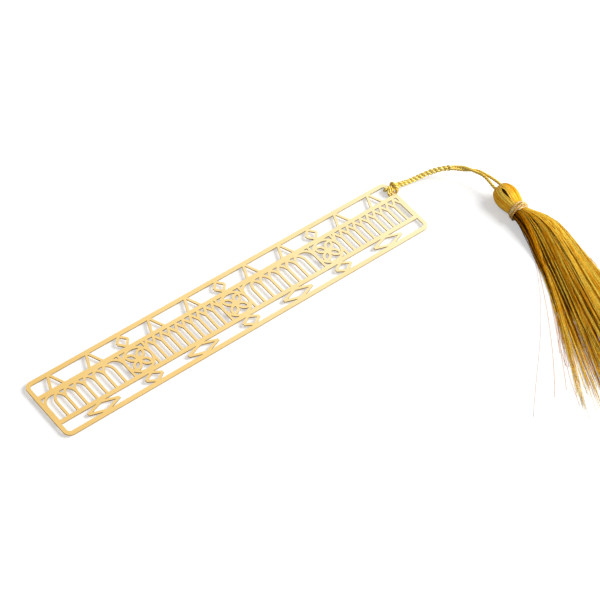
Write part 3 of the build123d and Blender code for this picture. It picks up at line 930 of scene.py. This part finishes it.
def strand_tube(s, across, height, radius, tone, strand=None):
    """Thin tubes on the skirt's lines."""
    lines = skirt_points(s, across, height)
    aside = np.broadcast_to(sideways, lines.shape)
    whole = np.ones(s.shape)
    return tube_set(lines, radius * whole, aside, SKIRT_SIDES, tone * whole, strand=strand)


def waves(s, size, length, count, owner):
    """Side waves drawn for each of count, and handed to the threads by owner."""
    swing = column(rng.normal(0, size, count)[owner])
    return swing * np.sin(s / length + column(TURN * rng.uniform(0, 1, count)[owner]))


# Locks, and the wisps in them
lock_across = -1 + 2 * (np.arange(LOCKS) + rng.uniform(0, 1, LOCKS)) / LOCKS
lock_height = rng.permutation(LOCKS) / (LOCKS - 1)
lock_reach = SKIRT_LENGTH * rng.uniform(*LOCK_REACH, LOCKS)
shortened = (lock_across < INNER_LOCKS) & (rng.uniform(0, 1, LOCKS) < SHORT_LOCKS)
lock_reach = np.where(shortened, lock_reach * rng.uniform(*SHORT_LOCK_REACH, LOCKS), lock_reach)
lock_lean = rng.normal(0, LOCK_LEAN, LOCKS)
lock_sway = rng.normal(0, LOCK_SWAY, LOCKS)
lock_tone = LOCK_TONE * (-1.0) ** np.arange(LOCKS) * rng.uniform(*LOCK_TONE_SHARES, LOCKS)
# Painted light, rising towards the outer edge
lock_tone = lock_tone + LOCK_LIGHT_SLOPE * lock_across
lock_spread = np.where(lock_height > HIGH_LOCKS, HIGH_LOCK_SPREAD, LOW_LOCK_SPREAD)
wisps = LOCKS * WISPS_A_LOCK
wisp_lock = np.repeat(np.arange(LOCKS), WISPS_A_LOCK)
wisp_offset = rng.normal(0, 1, (wisps, 2))
wisp_lean = rng.normal(0, WISP_LEAN, wisps)
wisp_reach = lock_reach[wisp_lock] * rng.uniform(*WISP_REACH, wisps)
wisp_tone = rng.normal(0, WISP_TONE, wisps)
thinned = rng.uniform(0, 1, wisps) < THINNED_WISPS * eased(-lock_across[wisp_lock], *THINNED_RUN)
wisp_reach = np.where(thinned, wisp_reach * rng.uniform(*THINNED_REACH, wisps), wisp_reach)

# Threads: their run, place across and height
wisp = np.repeat(np.arange(wisps), THREADS_A_WISP)
lock = wisp_lock[wisp]
threads = len(wisp)
own = rng.normal(0, 1, (threads, 2))
reach = wisp_reach[wisp] * (1 - np.abs(rng.normal(0, THREAD_SHORTFALL, threads)))
t = np.linspace(0, 1, SKIRT_STATIONS)
s = -ROOT_DEPTH + (column(reach) + ROOT_DEPTH) * t ** STATION_POWER
gather = TIP_GATHER + EDGE_GATHER * eased(-lock_across[lock], *EDGE_RUN)
tight = 1 + NECK_LOOSE * (1 - eased(s, *NECK_LOOSE_RUN)) - column(gather) * eased(s, *TIP_GATHER_RUN)
across = column(lock_across[lock]) + column(lock_spread[lock] * wisp_offset[wisp, 0]) * tight
across = across + column(THREAD_SPREAD * own[:, 0]) * (1 - THREAD_GATHER * eased(s, *THREAD_GATHER_RUN))
across = across + column(lock_lean[lock] + wisp_lean[wisp]) * eased(s, *LEAN_RUN)
across = across + column(lock_sway[lock]) * np.sin(s / LOCK_SWAY_LENGTH)
across = across + waves(s, WISP_WAVE, WISP_WAVE_LENGTH, wisps, wisp)
across = across + waves(s, THREAD_WAVE, THREAD_WAVE_LENGTH, threads, np.arange(threads))
across = np.clip(across, *ACROSS_LIMITS)
height = column(lock_height[lock] + WISP_HEIGHT * wisp_offset[wisp, 1] + THREAD_HEIGHT * own[:, 1])
height = height + column(rng.normal(0, WISP_LIFT, wisps)[wisp]) * eased(s, *WISP_LIFT_RUN)
height = np.clip(height, 0, 1)

# Threads: their tones, with painted light and shade, and thickness
# Painted shade on the lower threads
covered_shade = (COVERED_MIDDLE - height) * np.clip(COVERED_REACH - across ** 2, 0, 1)
covered_shade = covered_shade * (1 - COVERED_FADE * eased(s, *COVERED_FADE_RUN))
tone = column(THREAD_TONE + rng.normal(0, THREAD_TONE_SPREAD, threads)) - COVERED_SHADE * covered_shade
wisp_share = WISP_TONE_ROOT + (1 - WISP_TONE_ROOT) * eased(s, *WISP_TONE_RUN)
tone = tone + column(wisp_tone[wisp]) * wisp_share
tone = tone + column(lock_tone[lock]) * (LOCK_TONE_ROOT + LOCK_TONE_GAIN * eased(s, *LOCK_TONE_RUN))
# Painted light at the tips
tone = tone + TIP_PAINTED_LIGHT * eased(s, *TIP_PAINTED_LIGHT_RUN)
# Painted light on both rims
tone = tone + INNER_RIM_PAINTED_LIGHT * eased(-across, *INNER_RIM_RUN) * eased(s, *INNER_RIM_ALONG_RUN)
tone = tone + OUTER_RIM_PAINTED_LIGHT * eased(across, *OUTER_RIM_RUN)
# Painted light at the inner tips
tone = tone + INNER_TIP_PAINTED_LIGHT * eased(-across, *INNER_TIP_RUN) * eased(s, *INNER_TIP_ALONG_RUN)
# Painted shade in a band down the fan
band = across + BAND_PLACE - BAND_DRIFT * eased(s, *BAND_DRIFT_RUN)
flared = BAND_WIDTH + BAND_FLARE * (1 - eased(s, *BAND_FLARE_RUN))
band = band / np.where(band < 0, flared, BAND_WIDTH)
tone = tone - BAND_SHADE * np.exp(-band ** 2) * (1 - BAND_FADE * eased(s, *BAND_FADE_RUN))
tone = np.clip(tone, THREAD_TONE_LEAST, 1)
radius = column(rng.uniform(*THREAD_RADII, threads)) * (1 - THREAD_TAPER * eased(t, *THREAD_TAPER_RUN))
above = height.mean(axis=1) > np.median(height.mean(axis=1))
under_body, over_body = (
    strand_tube(s[rows], across[rows], height[rows], radius[rows], tone[rows], wisp[rows] * NOISE_STEP)
    for rows in (~above, above)
)

# Long and short stray hairs along the inner edge
from_edge, hair_length, hair_stray = (np.array(values) for values in zip(*LONG_HAIRS))
from_edge = np.concatenate([from_edge, rng.uniform(*SHORT_HAIR_STARTS, SHORT_HAIRS)])
hair_length = np.concatenate([hair_length, rng.uniform(*SHORT_HAIR_LENGTHS, SHORT_HAIRS)])
hair_stray = np.concatenate([hair_stray, rng.uniform(*SHORT_HAIR_STRAYS, SHORT_HAIRS)])
hairs = len(from_edge)
s = column(from_edge) + column(hair_length) * t
across = column(rng.uniform(*HAIR_EDGE, hairs)) - column(hair_stray) * t ** HAIR_POWER
hair_waves = column(rng.uniform(*HAIR_WAVES, hairs)) * t + column(TURN * rng.uniform(0, 1, hairs))
across = across + HAIR_WAVE * np.sin(hair_waves) * t
radius = column(rng.uniform(*HAIR_RADII, hairs))
tone = column(rng.uniform(*HAIR_TONES, hairs))
inner = strand_tube(s, across, np.full(s.shape, HAIR_HEIGHT), radius, tone)

# Fuzz along the outer edge
t = np.linspace(0, 1, STRAY_STATIONS)
s = column(rng.uniform(*STRAY_STARTS, OUTER_STRAYS)) + column(rng.uniform(*STRAY_LENGTHS, OUTER_STRAYS)) * t
across = column(rng.uniform(*STRAY_EDGE, OUTER_STRAYS))
across = across + column(rng.uniform(*STRAY_OUT, OUTER_STRAYS)) * t ** STRAY_POWER
height = column(rng.uniform(*STRAY_HEIGHTS, OUTER_STRAYS)) * (1 - STRAY_DROP * t)
radius = column(rng.uniform(*STRAY_RADII, OUTER_STRAYS))
# Painted light on the fuzz
tone = column(rng.uniform(*STRAY_TONES, OUTER_STRAYS))
outer = strand_tube(s, across, height, radius, tone)
skirt = make_piece("skirt_threads", [over_body, inner, outer], silks["thread_silk"])
underskirt = make_piece("skirt_under_threads", [under_body], silks["thread_silk"])

# How the pieces ride
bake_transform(hitch)
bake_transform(cord)
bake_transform(knot)
for piece in (head, neck, skirt, underskirt):
    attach(piece, "tassel")
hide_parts("cord_hitch")
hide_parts("cord_root", "cord_twist", "cord_leg_outer", "cord_leg_inner")
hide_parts("cord_knot")
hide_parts("tassel_head")
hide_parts("neck_binding")
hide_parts("tassel_skirt")
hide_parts("tassel_skirt")
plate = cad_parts["etched_plate"]
plate.data.materials.clear()
plate.data.materials.append(brass_material())

# Floor: pale paper that shows as white
floor_corners = [(-FLOOR_HALF, -FLOOR_HALF, 0), (FLOOR_HALF, -FLOOR_HALF, 0)]
floor_corners += [(FLOOR_HALF, FLOOR_HALF, 0), (-FLOOR_HALF, FLOOR_HALF, 0)]
floor_mesh = bpy.data.meshes.new("floor")
floor_mesh.from_pydata(floor_corners, [], [(0, 1, 2, 3)])
floor = bpy.data.objects.new("floor", floor_mesh)
bpy.context.scene.collection.objects.link(floor)
paper, nodes, links, shader = new_material("pale_paper")
shader.inputs["Base Color"].default_value = FLOOR_COLOUR
shader.inputs["Roughness"].default_value = FLOOR_ROUGHNESS
shader.inputs["Specular IOR Level"].default_value = 0.0
shader.inputs["Emission Color"].default_value = WHITE
seen = nodes.new("ShaderNodeLightPath").outputs["Is Camera Ray"]
links.new(range_node(nodes, links, seen, (0.0, 1.0), (0.0, FLOOR_GLOW)), shader.inputs["Emission Strength"])
floor.data.materials.append(paper)

# Lamps: each lights a level white floor to its share of full white
for name, (share, distance, size, turn, lift) in LAMPS.items():
    lamp = bpy.data.objects.new(name, bpy.data.lights.new(name, "AREA"))
    bpy.context.scene.collection.objects.link(lamp)
    lamp.data.shape = "DISK"
    lamp.data.size = size
    turn, lift = math.radians(turn), math.radians(lift)
    way = Vector((math.cos(lift) * math.cos(turn), math.cos(lift) * math.sin(turn), math.sin(lift)))
    lamp.location = LAMP_AIM + way * distance
    lamp.rotation_mode = "QUATERNION"
    lamp.rotation_quaternion = way.to_track_quat("Z", "Y")
    lamp.data.energy = share * math.pi ** 2 * distance ** 2 / math.sin(lift)

# World: a white room, dimmer in the light that it gives than in how it looks and reflects
world = bpy.data.worlds.new("studio")
bpy.context.scene.world = world
world.use_nodes = True
nodes, links = world.node_tree.nodes, world.node_tree.links
around = nodes["Background"]
around.inputs["Color"].default_value = WHITE
around.inputs["Strength"].default_value = AROUND
shown = nodes.new("ShaderNodeBackground")
shown.inputs["Color"].default_value = WHITE
shown.inputs["Strength"].default_value = 1.0
rays = nodes.new("ShaderNodeLightPath").outputs
either = math_node(nodes, links, "MAXIMUM", rays["Is Camera Ray"], rays["Is Glossy Ray"])
any_of = math_node(nodes, links, "MAXIMUM", either.outputs[0], rays["Is Transmission Ray"])
chosen = nodes.new("ShaderNodeMixShader")
links.new(any_of.outputs[0], chosen.inputs[0])
links.new(around.outputs[0], chosen.inputs[1])
links.new(shown.outputs[0], chosen.inputs[2])
links.new(chosen.outputs[0], nodes["World Output"].inputs["Surface"])
bpy.context.scene.view_settings.view_transform = "Standard"
